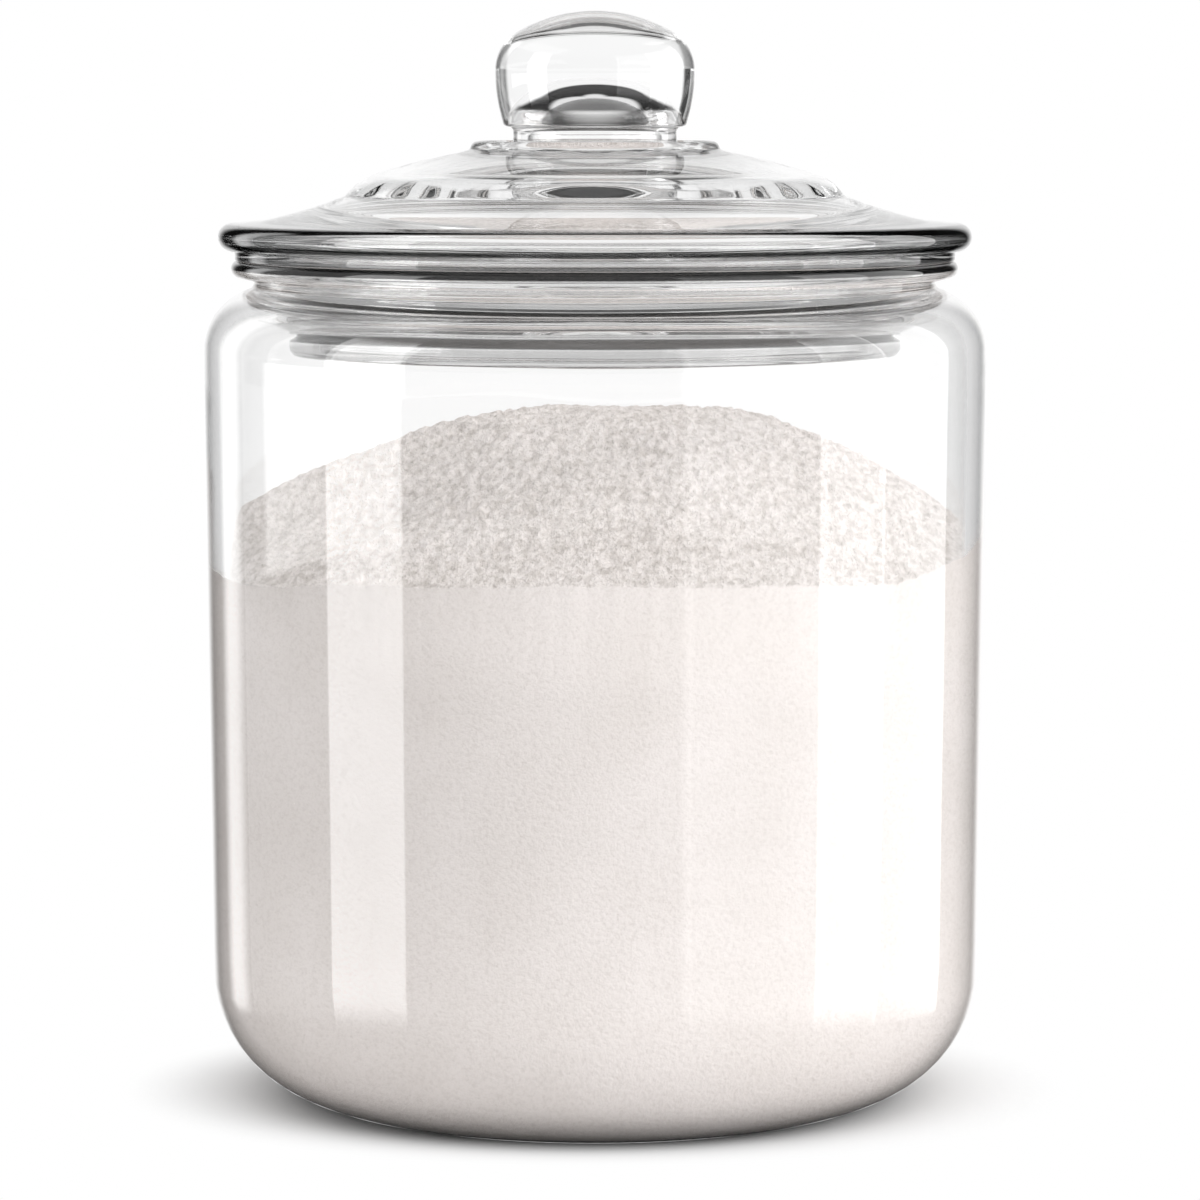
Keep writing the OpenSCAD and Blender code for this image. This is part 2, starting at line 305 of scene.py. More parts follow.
SHOULDER_X = BODY_R - SHOULDER_R
SHOULDER_Z = MOUTH_Z - BEAD_H - NECK_H - bend_rise(SHOULDER_X, SHOULDER_R, NECK_R, NECK_FILLET)


def inside_outline(gap):
    """The jar's inside from the middle of the floor, round the heel and up to the shoulder."""
    heel = HEEL_R - WALL
    return np.vstack([
        [(0, FLOOR + gap)],
        arc((FOOT_R, FLOOR + heel), heel - gap, -90, 0, count=40),
        [(BODY_R - WALL - gap, SHOULDER_Z)]])


def jar_outline():
    """Section of the jar: under the base, up the outside, over the mouth and down the inside."""
    foot_in = FOOT_R - FOOT_W
    share = np.linspace(0, 1, 12)
    return np.vstack([
        np.column_stack([foot_in * share, PUNT * (1 - share ** 2)]),
        arc((FOOT_R, HEEL_R), HEEL_R, -90, 0, count=40),
        bend(SHOULDER_X, SHOULDER_Z, SHOULDER_R, NECK_R, NECK_FILLET),
        arc((BEAD_R - BEAD_H / 2, MOUTH_Z - BEAD_H / 2), BEAD_H / 2, -90, 90),
        arc((MOUTH_R + LIP_R, MOUTH_Z - LIP_R), LIP_R, 90, 180),
        bend(SHOULDER_X, SHOULDER_Z, SHOULDER_R - WALL, MOUTH_R, LIP_R)[::-1],
        inside_outline(0)[::-1]])


def lid_outline():
    """Section of the lid: from the hollow's roof out under the dome, round the plug and rim and over the
    top."""
    under_z = SEAT_Z + DOME_H - DOME_T - UNDER_CURVE
    dome_z = SEAT_Z + DOME_H - DOME_CURVE
    flare = 2 * HOLLOW_R
    hollow_z = KNOB_TOP_Z - HOLLOW_ROOF - HOLLOW_H
    flare_z = under_z + height_on(UNDER_CURVE, flare)
    plug_in = PLUG_R - PLUG_T
    bead = PLUG_R + PLUG_BEAD
    end = PLUG_T / 2
    knob_z = KNOB_TOP_Z - KNOB_H
    cap_z = KNOB_TOP_Z - KNOB_CAP
    corner_x = KNOB_R - KNOB_CORNER
    corner_z = cap_z + height_on(KNOB_CAP - KNOB_CORNER, corner_x)
    corner_a = np.degrees(np.arccos(corner_x / (KNOB_CAP - KNOB_CORNER)))
    drop = corner_z - knob_z - KNOB_EDGE
    side_in = KNOB_R - KNOB_FOOT_R
    side = (drop ** 2 + side_in ** 2) / (2 * side_in)
    collar_dome_z = dome_z + height_on(DOME_CURVE, COLLAR_R)
    collar_z = collar_dome_z + COLLAR_H
    half = (COLLAR_R - WAIST_R) / 2
    moat = (half ** 2 + MOAT ** 2) / (2 * MOAT)
    moat_a = np.degrees(np.arcsin(half / moat))
    rim_x = BEAD_R + RIM_OVER - RIM_T / 2
    edge = round_edge(dome_z, DOME_CURVE, DOME_R, DOME_EDGE, DOME_FOOT)
    skirt = np.column_stack([
        edge[-1, 0] + (rim_x - edge[-1, 0]) * np.array(SKIRT_OUT),
        edge[-1, 1] + (SEAT_Z + RIM_T - edge[-1, 1]) * np.array(SKIRT_DOWN)])
    under_a = np.degrees(np.arccos([
        flare / UNDER_CURVE, (plug_in - UNDER_EDGE) / (UNDER_CURVE - UNDER_EDGE)]))
    dome_a = np.degrees(np.arccos([
        (DOME_R - DOME_EDGE) / (DOME_CURVE - DOME_EDGE), (COLLAR_R + 2 * COLLAR_H) / DOME_CURVE]))
    return np.vstack([
        np.abs(arc((0, 0), 1, 90, 0)) ** HOLLOW_FULL * (HOLLOW_R, HOLLOW_H) + (0, hollow_z),
        arc((0, 0), 1, -180, -90) * (flare - HOLLOW_R, hollow_z - flare_z) + (flare, hollow_z),
        arc((0, under_z), UNDER_CURVE, under_a[0], under_a[1]),
        round_edge(under_z, UNDER_CURVE, plug_in, UNDER_EDGE, 0),
        arc((plug_in + end, PLUG_Z + end), end, -180, -90),
        arc((bead - end, PLUG_Z + end), end, -90, -10),
        [(bead, PLUG_Z + PLUG_BEAD_H - PLUG_BEAD), (PLUG_R, PLUG_Z + PLUG_BEAD_H), (PLUG_R, SEAT_Z)],
        arc((rim_x, SEAT_Z + RIM_T / 2), RIM_T / 2, -90, 90),
        skirt[::-1],
        edge[::-1],
        arc((0, dome_z), DOME_CURVE, dome_a[0], dome_a[1]),
        arc((COLLAR_R, collar_dome_z), COLLAR_H, 0, 90),
        arc(((COLLAR_R + WAIST_R) / 2, collar_z - MOAT + moat), moat, 270 + moat_a, 270 - moat_a),
        arc((WAIST_R + WAIST_FILLET, knob_z - WAIST_FILLET), WAIST_FILLET, 180, 90),
        arc((KNOB_FOOT_R - KNOB_EDGE, knob_z + KNOB_EDGE), KNOB_EDGE, -90, 0),
        arc((KNOB_R - side, corner_z), side, -np.degrees(np.arcsin(drop / side)), 0),
        arc((corner_x, corner_z), KNOB_CORNER, 0, corner_a),
        arc((0, cap_z), KNOB_CAP, corner_a, 90)])


def seal_outline():
    """Section of the sealing ring: across the sleeve's foot, up over each fin, and round the flange."""
    inner = PLUG_R + SEAL_FIT
    outer = inner + SLEEVE_T
    low = PLUG_Z + PLUG_BEAD_H + SEAL_FIT
    tip = MOUTH_R - SEAL_FIT
    pitch = (MOUTH_Z - LIP_R - 2 * FIN_ROOT - low) / FINS
    fins = [
        [(outer, z), (tip, z + FIN_ROOT), (tip, z + FIN_ROOT + FIN_TIP), (outer, z + FIN_ROOT)]
        for z in low + FIN_ROOT / 2 + pitch * np.arange(FINS)]
    return np.vstack([
        [(inner, low), (outer, low)],
        *fins,
        [(outer, MOUTH_Z), (FLANGE_R, MOUTH_Z), (FLANGE_R, SEAT_Z), (inner, SEAT_Z)]])


def lengths(points):
    """Distance of each point along a line of points."""
    return np.concatenate([[0], np.cumsum(np.hypot(*np.diff(points, axis=0).T))])


def spaced(points, places):
    """Points at the given distances along a line of points, and its whole length."""
    run = lengths(points)
    return np.column_stack([np.interp(places, run, points[:, k]) for k in (0, 1)]), run[-1]


def fire_polished(outline, rows, soften, closed=False, fine=0.05, turn_weight=0.25):
    """The outline with its corners melted round. It is spaced evenly, averaged along its length under a
    bell curve soften wide, and spaced again so that the rows gather where it turns."""
    if closed:
        outline = np.vstack([outline, outline[:1]])
    _, length = spaced(outline, [0])
    even, _ = spaced(outline, np.linspace(0, length, int(length / fine)))
    reach = int(4 * soften / fine)
    bell = np.exp(-0.5 * (np.arange(-reach, reach + 1) * fine / soften) ** 2)
    if closed:
        padded = np.vstack([even[-reach - 1:-1], even, even[1:reach + 1]])
    else:
        mirror = np.array([-1, 1])
        padded = np.vstack([even[reach:0:-1] * mirror, even, even[-2:-reach - 2:-1] * mirror])
    soft = np.column_stack([np.convolve(padded[:, k], bell / bell.sum(), "valid") for k in (0, 1)])
    step = np.diff(soft, axis=0)
    heading = np.unwrap(np.arctan2(step[:, 1], step[:, 0]))
    run = lengths(soft)
    turn = np.concatenate([[0, 0], np.cumsum(np.abs(np.diff(heading)))])
    measure = run / run[-1] * turn_weight + turn / turn[-1] * (1 - turn_weight)
    picked = np.interp(np.linspace(0, 1, rows), measure, np.arange(len(soft)))
    points = np.column_stack([np.interp(picked, np.arange(len(soft)), soft[:, k]) for k in (0, 1)])
    if closed:
        return points[:-1]
    points[[0, -1], 0] = 0
    return points


def mesh_object(name, points, faces):
    """A smooth mesh object from an array of points and arrays of faces with four or three corners."""
    mesh = bpy.data.meshes.new(name)
    sizes = np.concatenate([np.full(len(f), f.shape[1]) for f in faces])
    corners = np.concatenate([f.ravel() for f in faces])
    mesh.vertices.add(len(points))
    mesh.vertices.foreach_set("co", points.astype(np.float32).ravel())
    mesh.loops.add(len(corners))
    mesh.loops.foreach_set("vertex_index", corners.astype(np.int32))
    mesh.polygons.add(len(sizes))
    mesh.polygons.foreach_set("loop_start", (np.cumsum(sizes) - sizes).astype(np.int32))
    mesh.update(calc_edges=True)
    mesh.shade_smooth()
    piece = bpy.data.objects.new(name, mesh)
    bpy.context.scene.collection.objects.link(piece)
    return piece


def grid_faces(rows, around, closed):
    """Quads of a grid of rows that each go round the circle; closed also joins the last row to the first."""
    i = np.arange(rows if closed else rows - 1)[:, None] * around
    up = (i + around) % (rows * around)
    j = np.arange(around)[None, :]
    k = (j + 1) % around
    return np.stack([i + j, i + k, up + k, up + j], axis=-1).reshape(-1, 4)


def turned(name, outline, around, ripple=None, closed=False):
    """An outline turned about Z: row i, column j lies at (r_i cos t_j, r_i sin t_j, z_i), with t_j even
    round the circle. ripple(r, z, t) gives the radius and height instead. Ends on the axis become single
    points."""
    body = outline if closed else outline[1:-1]
    t = 2 * np.pi * np.arange(around)[None, :] / around
    r, z = body[:, :1] + 0 * t, body[:, 1:] + 0 * t
    if ripple:
        r, z = ripple(r, z, t)
    points = np.stack([r * np.cos(t), r * np.sin(t), z], axis=-1).reshape(-1, 3)
    faces = [grid_faces(len(body), around, closed)]
    if not closed:
        first, last = len(points), len(points) + 1
        points = np.vstack([points, [(0, 0, outline[0, 1]), (0, 0, outline[-1, 1])]])
        j = np.arange(around)
        k = (j + 1) % around
        top = (len(body) - 1) * around
        faces.append(np.column_stack([np.full(around, first), k, j]))
        faces.append(np.column_stack([np.full(around, last), top + j, top + k]))
    return mesh_object(name, points * MM, faces)


def waves(t, z, parts):
    """Sum of strength * sin(count * t + turn * z + start) over the parts."""
    return sum(strength * np.sin(count * t + turn * z + start) for strength, count, turn, start in parts)


def jar_ripple(r, z, t):
    """Moulded glass: a slow wave of a few hundredths of a millimetre on the walls, stronger inside, and the
    grooves of the foot, where the surface under KNURL_DEPTH is lifted to it."""
    inner = np.clip((z - WAVE_FROM) / WAVE_OVER, 0, 1) * (r < BODY_R - 0.6 * WALL) * (r > NECK_R - 2 * NECK)
    r = r + (JAR_WAVE + JAR_WAVE_INSIDE * inner) * waves(t, z, JAR_WAVES) * np.clip(z / WAVE_FROM, 0, 1)
    groove = (np.cos(KNURLS * t) > np.cos(np.pi * KNURL_SHARE)) & (r > FOOT_R - FOOT_W / 2)
    low = (z < KNURL_DEPTH) & (r < FOOT_R + KNURL_REACH)
    return r, np.where(groove & low, KNURL_DEPTH, z)


def lid_ripple(r, z, t):
    """Pressed glass: a slow wave of a few hundredths of a millimetre on the lid, weakest on the knob."""
    share = np.clip((r - KNOB_R) / LID_WAVE_OVER, LID_WAVE_LEAST, 1)
    return r + LID_WAVE * waves(t, z, LID_WAVES) * share, z


def lattice_noise(x, y, cell, seed):
    """Smooth noise from -1 to 1: random values on a square lattice, blended by a fifth-order curve."""
    table = np.random.default_rng(seed).uniform(-1, 1, (LATTICE, LATTICE))
    gx, gy = x / cell, y / cell
    ix, iy = np.floor(gx).astype(int), np.floor(gy).astype(int)
    fx, fy = gx - ix, gy - iy
    wx, wy = (f * f * f * (f * (6 * f - 15) + 10) for f in (fx, fy))
    at = [table[(ix + a) % LATTICE, (iy + b) % LATTICE] for a, b in ((0, 0), (1, 0), (0, 1), (1, 1))]
    low = at[0] + (at[1] - at[0]) * wx
    return low + (at[2] + (at[3] - at[2]) * wx - low) * wy


def crumbs(x, y, cell, seed):
    """Rounded lumps with creases between them, one scattered in each square cell: the highest of each
    lump's own size, from a half to one, less the squared distance to its middle in cells."""
    rng = np.random.default_rng(seed)
    ox, oy = rng.uniform(0.1, 0.9, (2, LATTICE, LATTICE))
    size = rng.uniform(0.5, 1.0, (LATTICE, LATTICE))
    gx, gy = x / cell, y / cell
    ix, iy = np.floor(gx).astype(int), np.floor(gy).astype(int)
    best = np.full(np.shape(x), -1.0)
    for a in (-1, 0, 1):
        for b in (-1, 0, 1):
            u, v = (ix + a) % LATTICE, (iy + b) % LATTICE
            d2 = (ix + a + ox[u, v] - gx) ** 2 + (iy + b + oy[u, v] - gy) ** 2
            best = np.maximum(best, size[u, v] - d2)
    return best


def edge_height(angle):
    """Height at which the heap meets the glass, round from the front, smooth through the chosen heights."""
    knots = np.array(EDGE_ANGLES, float)
    place = np.interp(angle, knots, np.arange(len(knots)))
    low = np.minimum(place.astype(int), len(knots) - 2)
    share = place - low
    values = np.array(EDGE_HEIGHTS, float)
    return values[low] + (values[low + 1] - values[low]) * (share * share * (3 - 2 * share))


def flour_body(name, around=560, top_rows=140, side_rows=30):
    """The flour: a top that falls from the heap's peak to the glass as a power of the share of the way,
    eased out in front, with slow swells, crumbs and grains added to its height, and a side that follows the
    jar's inside down to the floor."""
    t = 2 * np.pi * np.arange(around) / around
    front = (np.degrees(t) + 90 + 180) % 360 - 180
    edge_z = edge_height(front)
    inside = inside_outline(FLOUR_GAP)[::-1]
    run = lengths(inside)
    start = np.interp(-edge_z, -inside[:2, 1], run[:2])
    wall_r = np.interp(start, run, inside[:, 0])
    share = np.linspace(0, 1, top_rows + 1)[1:, None] ** ROWS_GATHER
    x = HEAP_AT[0] + (wall_r * np.cos(t) - HEAP_AT[0]) * share
    y = HEAP_AT[1] + (wall_r * np.sin(t) - HEAP_AT[1]) * share
    toe = TOE * np.clip(np.cos(np.radians(front)), 0, 1)
    fall = share ** ROUND_TOP * (1 + toe * 2 * (1 - share))
    z = HEAP_Z + (edge_z - HEAP_Z) * fall
    z = z + heap_relief(x, y, share)
    z = z - (z.max() - HEAP_Z + CROWN)
    # The side runs down the wall from 0 to 1, round the heel from 1 to 2 and across the floor from 2 to 3
    heel, floor = run[1], run[-2]
    on_wall = np.linspace(0, 1, 5)[1:-1]
    down = np.concatenate([on_wall, np.linspace(1, 2, side_rows - 5), [2.3, 2.6]])[:, None]
    along = np.where(down < 1, start + (heel - start) * down,
                     np.where(down < 2, heel + (floor - heel) * (down - 1),
                              run[-1] - (run[-1] - floor) * (3 - down)))
    r = np.interp(along, run, inside[:, 0])
    side_z = np.interp(along, run, inside[:, 1])
    grid = np.concatenate([
        np.stack([x, y, z], axis=-1),
        np.stack([r * np.cos(t), r * np.sin(t), side_z], axis=-1)])
    points = np.vstack([
        grid.reshape(-1, 3),
        [(HEAP_AT[0], HEAP_AT[1], z[0].mean()), (0, 0, inside[-1, 1])]])
    first, last = len(points) - 2, len(points) - 1
    j = np.arange(around)
    k = (j + 1) % around
    bottom = (len(grid) - 1) * around
    quads = grid_faces(len(grid), around, False)[:, ::-1]
    faces = [quads, np.column_stack([np.full(around, first), j, k]),
             np.column_stack([np.full(around, last), bottom + k, bottom + j])]
    piece = mesh_object(name, points * MM, faces)
    loose = np.zeros(len(points))
    loose[:(top_rows - 1) * around] = 1
    loose[first] = 1
    piece.data.attributes.new("loose", "FLOAT", "POINT").data.foreach_set("value", loose.astype(np.float32))
    return piece


def heap_relief(x, y, share):
    """What is added to the heap's height: slow swells, less a dent on the left of the front slope that is a
    bell curve of the distance, and crumbs of two sizes and grains, higher in some patches. The swells fade
    towards the glass with the cube of the share of the way, and the rest loses 0.6 of its height there.
    Over the first sixth of the way from the peak all of it grows from nothing."""
    swell = sum(height * lattice_noise(x, y, size, seed) for height, size, seed in SWELLS)
    away = ((x - DENT_AT[0]) ** 2 + (y - DENT_AT[1]) ** 2) / DENT_WIDE ** 2
    swell = swell - DENT_DEEP * np.exp(-away)
    run = DOWNHILL * y
    lump = sum(height * crumbs(x, run, size, seed) for height, size, seed in CRUMBS)
    lump = lump + GRAINS[0] * lattice_noise(x, run, *GRAINS[1:])
    lump = lump * (PATCH_MEAN + PATCHES[0] * lattice_noise(x, y, *PATCHES[1:]))
    return (swell * (1 - share ** 3) + lump * (1 - 0.6 * share ** 6)) * np.minimum(1, share * 6)


def wire(tree, kind, settings=None, **inputs):
    """A new node with its settings and inputs. An input goes by its name, or by an i and its number, and is
    a value or another node's socket."""
    made = tree.nodes.new(kind)
    for key, value in (settings or {}).items():
        setattr(made, key, value)
    for key, value in inputs.items():
        numbered = key[0] == "i" and key[1:].isdigit()
        socket = made.inputs[int(key[1:]) if numbered else key.replace("_", " ")]
        if isinstance(value, bpy.types.NodeSocket):
            tree.links.new(value, socket)
        else:
            socket.default_value = value
    return made


def math_node(tree, operation, *values):
    """One sum on numbers or sockets, as a socket."""
    return wire(tree, "ShaderNodeMath", {"operation": operation},
                **{f"i{k}": v for k, v in enumerate(values)}).outputs[0]


def spread(tree, value, start, end, low, high, curve="LINEAR"):
    """A value that runs from low at start to high at end, and stays at each beyond."""
    return wire(tree, "ShaderNodeMapRange", {"interpolation_type": curve}, Value=value,
                From_Min=start, From_Max=end, To_Min=low, To_Max=high).outputs[0]


def smooth_step(tree, value, start, end):
    """Nothing before start, one beyond end and smooth between, where end may also be less than start."""
    return spread(tree, value, start, end, 0.0, 1.0, "SMOOTHSTEP")


def between(tree, value, low, high, soft):
    """One where the value lies between low and high, falling to nothing over soft on each side."""
    return math_node(tree, "MULTIPLY", smooth_step(tree, value, low - soft, low),
                     spread(tree, value, high, high + soft, 1.0, 0.0, "SMOOTHSTEP"))


def choose(tree, share, other, value):
    """The value where share is one, and the other where it is nothing."""
    return wire(tree, "ShaderNodeMix", {"data_type": "FLOAT"}, Factor=share, i2=other, i3=value).outputs[0]


def tinted(tree, colour, tint, share=1.0):
    """The colour multiplied by the tint, in full where share is one and not at all where it is nothing."""
    return wire(tree, "ShaderNodeMix", {"data_type": "RGBA", "blend_type": "MULTIPLY"},
                i0=share, i6=colour, i7=tint).outputs[2]


def scaled(tree, vector, factors):
    """A vector with each of its parts multiplied by a factor."""
    return wire(tree, "ShaderNodeVectorMath", {"operation": "MULTIPLY"}, i0=vector, i1=factors).outputs[0]


def length_of(tree, vector):
    """Length of a vector."""
    return wire(tree, "ShaderNodeVectorMath", {"operation": "LENGTH"}, i0=vector).outputs["Value"]


def azimuth_of(tree, x, y):
    """Degrees round from the front, positive to the right."""
    return math_node(tree, "DEGREES", math_node(tree, "ARCTAN2", x, math_node(tree, "MULTIPLY", y, -1.0)))


def noise(tree, place, scale, detail, roughness=0.5):
    """Smooth noise about 0.5, with scale patterns in a metre."""
    return wire(tree, "ShaderNodeTexNoise", Vector=place, Scale=scale, Detail=detail,
                Roughness=roughness).outputs["Fac"]


def grey(tone):
    """A grey as a colour."""
    return (tone, tone, tone, 1)


def ramp(tree, value, stops):
    """A colour that runs through the stops, each a place from 0 to 1 and a colour or a grey."""
    made = wire(tree, "ShaderNodeValToRGB", Fac=value)
    elements = made.color_ramp.elements
    while len(elements) < len(stops):
        elements.new(0.5)
    for element, (place, colour) in zip(elements, stops):
        element.position = place
        element.color = (*colour, 1) if isinstance(colour, tuple) else grey(colour)
    return made.outputs["Color"]


def new_tree(block):
    """The emptied node tree of a material or world."""
    block.use_nodes = True
    block.node_tree.nodes.clear()
    return block.node_tree


def place_and_height(tree):
    """The place on the object and its height, in metres."""
    place = wire(tree, "ShaderNodeTexCoord").outputs["Object"]
    return place, wire(tree, "ShaderNodeSeparateXYZ", Vector=place).outputs[2]


def painted_shade_ring(tree, place, height, low, high, beyond, soft):
    """One where a ring of shade is painted: between the heights low and high and beyond a radius, in
    millimetres.
    It fades over the height soft."""
    radius = length_of(tree, scaled(tree, place, (1, 1, 0)))
    return math_node(tree, "MULTIPLY", between(tree, height, low * MM, high * MM, soft * MM),
                     math_node(tree, "GREATER_THAN", radius, beyond * MM))


def clear_solid(tree, shader, clear, stain, soak):
    """Output of a clear solid: the shader for the eye and for mirrored and refracted rays, a surface that
    lets the share clear of the lamps' and bounced light straight through, and inside it a stain that soaks
    up light, soak per metre."""
    shader.inputs["Transmission Weight"].default_value = 1.0
    path = wire(tree, "ShaderNodeLightPath")
    through = math_node(tree, "MAXIMUM", path.outputs["Is Shadow Ray"], path.outputs["Is Diffuse Ray"])
    straight = wire(tree, "ShaderNodeBsdfTransparent", Color=clear)
    mix = wire(tree, "ShaderNodeMixShader", i0=through, i1=shader.outputs[0], i2=straight.outputs[0])
    inside = wire(tree, "ShaderNodeVolumeAbsorption", Color=stain, Density=soak)
    wire(tree, "ShaderNodeOutputMaterial", Surface=mix.outputs[0], Volume=inside.outputs[0])


def glass(name, outline, outlined, shades):
    """Pressed soda-lime glass. It refracts for the eye, and lets lamps and bounced light straight through,
    less so at the foot. The outline paints shade into it by the slant of its surface at the heights in
    outlined, for its dark edges, and each of the shades paints a ring of shade."""
    material = bpy.data.materials.new(name)
    tree = new_tree(material)
    place, height = place_and_height(tree)
    # The outline paints shade into the tint where the surface is seen at a slant, for the glass's dark edges
    facing = wire(tree, "ShaderNodeLayerWeight", Blend=0.5).outputs["Facing"]
    counts = between(tree, height, *(edge * MM for edge in outlined))
    tint = wire(tree, "ShaderNodeMix", {"data_type": "RGBA"}, i0=counts, i6=grey(1),
                i7=ramp(tree, facing, outline)).outputs[2]
    # Each shade paints a ring of shade into the tint
    for low, high, beyond, tone in shades:
        shaded = painted_shade_ring(tree, place, height, low, high, beyond, SHADE_SOFT)
        tint = tinted(tree, tint, choose(tree, shaded, 1.0, tone))
    shader = wire(tree, "ShaderNodeBsdfPrincipled", Base_Color=tint, Roughness=0.0, IOR=GLASS_IOR)
    clear = spread(tree, height, 0.0, FOOT_CLEAR_TO * MM, FOOT_CLEAR, GLASS_CLEAR)
    clear_solid(tree, shader, clear, GLASS_STAIN, GLASS_SOAK)
    return material


def flour_material():
    """Milled flour: matt warm white with faint mottling, a fine grain with painted shade in its creases,
    grey specks, and clods on the loose top. Where it is pressed on the glass it is smoother, and a little
    darker higher up and lighter low down, which is painted light and shade."""
    material = bpy.data.materials.new("flour")
    tree = new_tree(material)
    place, height = place_and_height(tree)
    slope = scaled(tree, place, (1, GRAIN_DRAWN, 1))
    loose = wire(tree, "ShaderNodeAttribute", {"attribute_name": "loose"}).outputs["Fac"]
    grain = noise(tree, slope, GRAIN, 3.0, 0.6)
    bump = wire(tree, "ShaderNodeBump", Height=grain, Strength=1.0,
                Distance=choose(tree, loose, BUMP_PRESSED, BUMP_LOOSE))
    low, high, low_tone, high_tone = PRESSED_TONES
    # Painted light and shade: the pressed flour is a little lighter low down and darker higher up
    pressed = spread(tree, height, low * MM, high * MM, low_tone, high_tone)
    tone = ramp(tree, noise(tree, place, MOTTLES, 3.0), MOTTLED)
    tone = tinted(tree, tone, choose(tree, loose, pressed, 1.0))
    fine = choose(tree, loose, FINE_PRESSED, 1.0)
    # The grain's tint paints shade in its creases, where the same grain makes the bump low
    for value, amount, stops in ((grain, fine, GRAIN_CREASE_SHADE),
                                 (noise(tree, slope, SPECKS, 1.0), fine, SPECK_TINT),
                                 (noise(tree, slope, CLODS, 2.0), loose, CLOD_TINT)):
        tone = tinted(tree, tone, ramp(tree, value, stops), amount)
    shader = wire(tree, "ShaderNodeBsdfPrincipled", Base_Color=tone, Roughness=FLOUR_ROUGH,
                  Normal=bump.outputs[0])
    shader.inputs["Specular IOR Level"].default_value = FLOUR_SHEEN
    wire(tree, "ShaderNodeOutputMaterial", Surface=shader.outputs[0])
    return material


def seal_material():
    """Soft clear plastic, a little milky, with a painted dark line of shade where its flange is pressed on
    the mouth.
    """
    material = bpy.data.materials.new("seal")
    tree = new_tree(material)
    place, height = place_and_height(tree)
    rough = spread(tree, noise(tree, place, SEAL_CLOUDS, 2.0), *SEAL_CLOUDED)
    # Painted shade: a dark line where the flange is pressed on the mouth
    *ring, tone = SEAL_SHADE
    tint = choose(tree, painted_shade_ring(tree, place, height, *ring, SEAL_SHADE_SOFT), SEAL_TINT, tone)
    shader = wire(tree, "ShaderNodeBsdfPrincipled", Base_Color=tint, Roughness=rough, IOR=SEAL_IOR)
    clear_solid(tree, shader, grey(SEAL_CLEAR), SEAL_STAIN, SEAL_SOAK)
    return material


def floor_material():
    """White floor that keeps the jar's shadow and is plain white further out. Beyond its shade, refracted
    rays see it darker in front of the jar than behind."""
    material = bpy.data.materials.new("floor")
    tree = new_tree(material)
    place = wire(tree, "ShaderNodeTexCoord").outputs["Object"]
    path = wire(tree, "ShaderNodeLightPath")
    away = 0.0
    for seen, (across, near, far) in (("Is Camera Ray", FLOOR_FADE),
                                      ("Is Transmission Ray", FLOOR_FADE_IN_GLASS)):
        white_share = smooth_step(tree, length_of(tree, scaled(tree, place, (across, 1, 1))), near, far)
        away = math_node(tree, "ADD", away, math_node(tree, "MULTIPLY", white_share, path.outputs[seen]))
    lit = wire(tree, "ShaderNodeBsdfDiffuse", Color=grey(FLOOR_TONE)).outputs[0]
    x, y, _ = wire(tree, "ShaderNodeSeparateXYZ", Vector=place).outputs
    turn = math_node(tree, "ABSOLUTE", azimuth_of(tree, x, y))
    light = choose(tree, path.outputs["Is Camera Ray"],
                   choose(tree, smooth_step(tree, turn, *BACKDROP), FLOOR_FRONT, 1.0), 1.0)
    white = wire(tree, "ShaderNodeEmission", Color=grey(1), Strength=light).outputs[0]
    mix = wire(tree, "ShaderNodeMixShader", i0=away, i1=lit, i2=white)
    wire(tree, "ShaderNodeOutputMaterial", Surface=mix.outputs[0])
    return material


def finish_piece(piece, material, body, node):
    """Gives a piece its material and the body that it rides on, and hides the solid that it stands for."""
    piece.data.materials.append(material)
    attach(piece, body)
    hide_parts(node)


def build_floor():
    """A white floor, level with the foot, that mirrored rays do not see."""
    corners = ((-1, -1, 0), (1, -1, 0), (1, 1, 0), (-1, 1, 0))
    floor = mesh_object("floor", FLOOR_HALF * np.array(corners), [np.array([[0, 1, 2, 3]])])
    floor.data.materials.append(floor_material())
    floor.visible_glossy = False


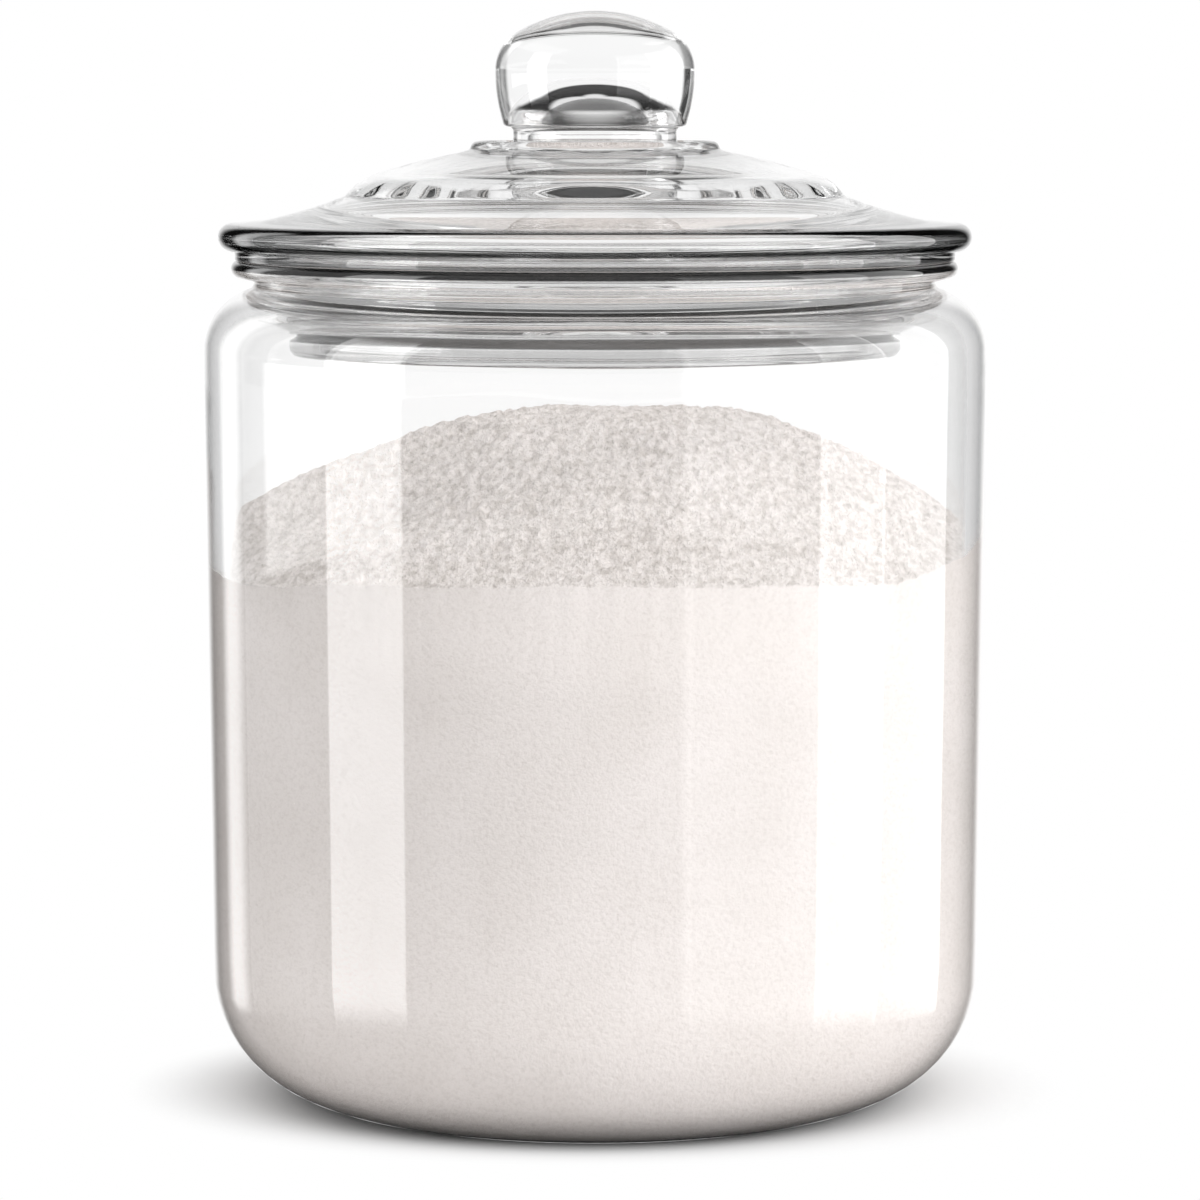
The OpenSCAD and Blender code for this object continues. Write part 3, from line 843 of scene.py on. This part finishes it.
def build_world():
    """Studio surround: plain white to the eye, and even light that grows overhead on the objects. Mirrored
    and refracted rays see a dark room with upright light panels, a lit band low in front, a white backdrop
    behind, and a ceiling that is lit in front and straight overhead and dark behind. Mirrored rays see a
    dark table under all that."""
    world = bpy.data.worlds.new("studio")
    bpy.context.scene.world = world
    tree = new_tree(world)
    way = wire(tree, "ShaderNodeTexCoord").outputs["Generated"]
    x, y, z = wire(tree, "ShaderNodeSeparateXYZ", Vector=way).outputs
    azimuth = azimuth_of(tree, x, y)
    rise = math_node(tree, "DEGREES", math_node(tree, "ARCSINE", z))
    turn = math_node(tree, "ABSOLUTE", azimuth)
    path = wire(tree, "ShaderNodeLightPath")
    lit = math_node(tree, "MAXIMUM", smooth_step(tree, turn, *FRONT_CEILING),
                    smooth_step(tree, rise, *SOFTBOX))
    overhead = choose(tree, lit, CEILING, SOFTBOX_LIGHT)
    ceiling = smooth_step(tree, rise, *OVERHEAD)
    table = choose(tree, smooth_step(tree, rise, *TABLE), TABLE_LIGHT, 1.0)
    standing = between(tree, rise, *PANEL_RISE)
    band = math_node(tree, "MULTIPLY", between(tree, rise, *BAND), smooth_step(tree, turn, *BAND_FORWARD))
    band_light = math_node(tree, "MULTIPLY_ADD", between(tree, azimuth, *BAND_LEFT_AT), BAND_LEFT,
                           BAND_LIGHT)
    far_room = math_node(tree, "MULTIPLY_ADD", band, band_light, ROOM)
    even = math_node(tree, "MULTIPLY", SKY_RISE, math_node(tree, "MAXIMUM", z, 0.0))
    strength = math_node(tree, "ADD", SKY, even)
    for seen, panels, backdrop in (("Is Glossy Ray", PANELS_MIRRORED, BACKDROP_MIRRORED),
                                   ("Is Transmission Ray", PANELS, BACKDROP)):
        room = far_room
        for low, high, light, soft in panels:
            panel = math_node(tree, "MULTIPLY", between(tree, azimuth, low, high, soft), standing)
            room = math_node(tree, "ADD", room, math_node(tree, "MULTIPLY", panel, light))
        wall = choose(tree, smooth_step(tree, turn, *backdrop), room, 1.0)
        around = choose(tree, ceiling, wall, overhead)
        if seen == "Is Glossy Ray":
            around = math_node(tree, "MULTIPLY", around, table)
        strength = choose(tree, path.outputs[seen], strength, around)
    strength = choose(tree, path.outputs["Is Camera Ray"], strength, 1.0)
    back = wire(tree, "ShaderNodeBackground", Color=grey(1), Strength=strength)
    wire(tree, "ShaderNodeOutputWorld", Surface=back.outputs[0])


def add_lamp(name, place, size, power):
    """A soft lamp that lights the flour and the floor, and that neither the eye nor the glass sees."""
    light = bpy.data.lights.new(name, "AREA")
    light.shape = "RECTANGLE"
    light.size, light.size_y = size
    light.energy = power
    lamp = bpy.data.objects.new(name, light)
    lamp.location = place
    lamp.rotation_euler = (Vector(LAMPS_AIM) - Vector(place)).to_track_quat("-Z", "Y").to_euler()
    lamp.visible_camera = False
    lamp.visible_glossy = False
    lamp.visible_transmission = False
    bpy.context.scene.collection.objects.link(lamp)


def build_camera():
    """The photograph's view: a long lens, a little above the lid, looking slightly down."""
    data = bpy.data.cameras.new("camera")
    data.sensor_width = SENSOR
    data.lens = LENS
    camera = bpy.data.objects.new("camera", data)
    camera.location = (CAMERA_X, -CAMERA_AWAY, CAMERA_Z)
    aim = Vector((CAMERA_X, 0, AIM_Z))
    camera.rotation_euler = (aim - camera.location).to_track_quat("-Z", "Y").to_euler()
    bpy.context.scene.collection.objects.link(camera)
    bpy.context.scene.camera = camera


build_camera()

jar = turned("jar_glass", fire_polished(jar_outline(), rows=132, soften=0.25), around=720, ripple=jar_ripple)
lid = turned("lid_glass", fire_polished(lid_outline(), rows=260, soften=0.3), around=360, ripple=lid_ripple)
seal = turned("seal_soft", fire_polished(seal_outline(), rows=120, soften=0.12, closed=True), around=360,
              closed=True)
flour = flour_body("flour_heap")

jar_glass = glass("jar_glass", JAR_OUTLINE, JAR_OUTLINED, JAR_SHADES)
lid_glass = glass("lid_glass", LID_OUTLINE, LID_OUTLINED, LID_SHADES)
finish_piece(jar, jar_glass, "jar", "jar_body")
finish_piece(lid, lid_glass, "lid", "lid")
finish_piece(seal, seal_material(), "seal", "seal_ring")
finish_piece(flour, flour_material(), "jar", "flour")

build_floor()
build_world()
for lamp_name, lamp_place, lamp_size, watts in LAMPS:
    add_lamp(lamp_name, lamp_place, lamp_size, watts)

scene = bpy.context.scene
scene.view_settings.view_transform = "Standard"
scene.cycles.max_bounces = 64
scene.cycles.transmission_bounces = 64
scene.cycles.glossy_bounces = 64
scene.cycles.diffuse_bounces = 4
scene.cycles.transparent_max_bounces = 32
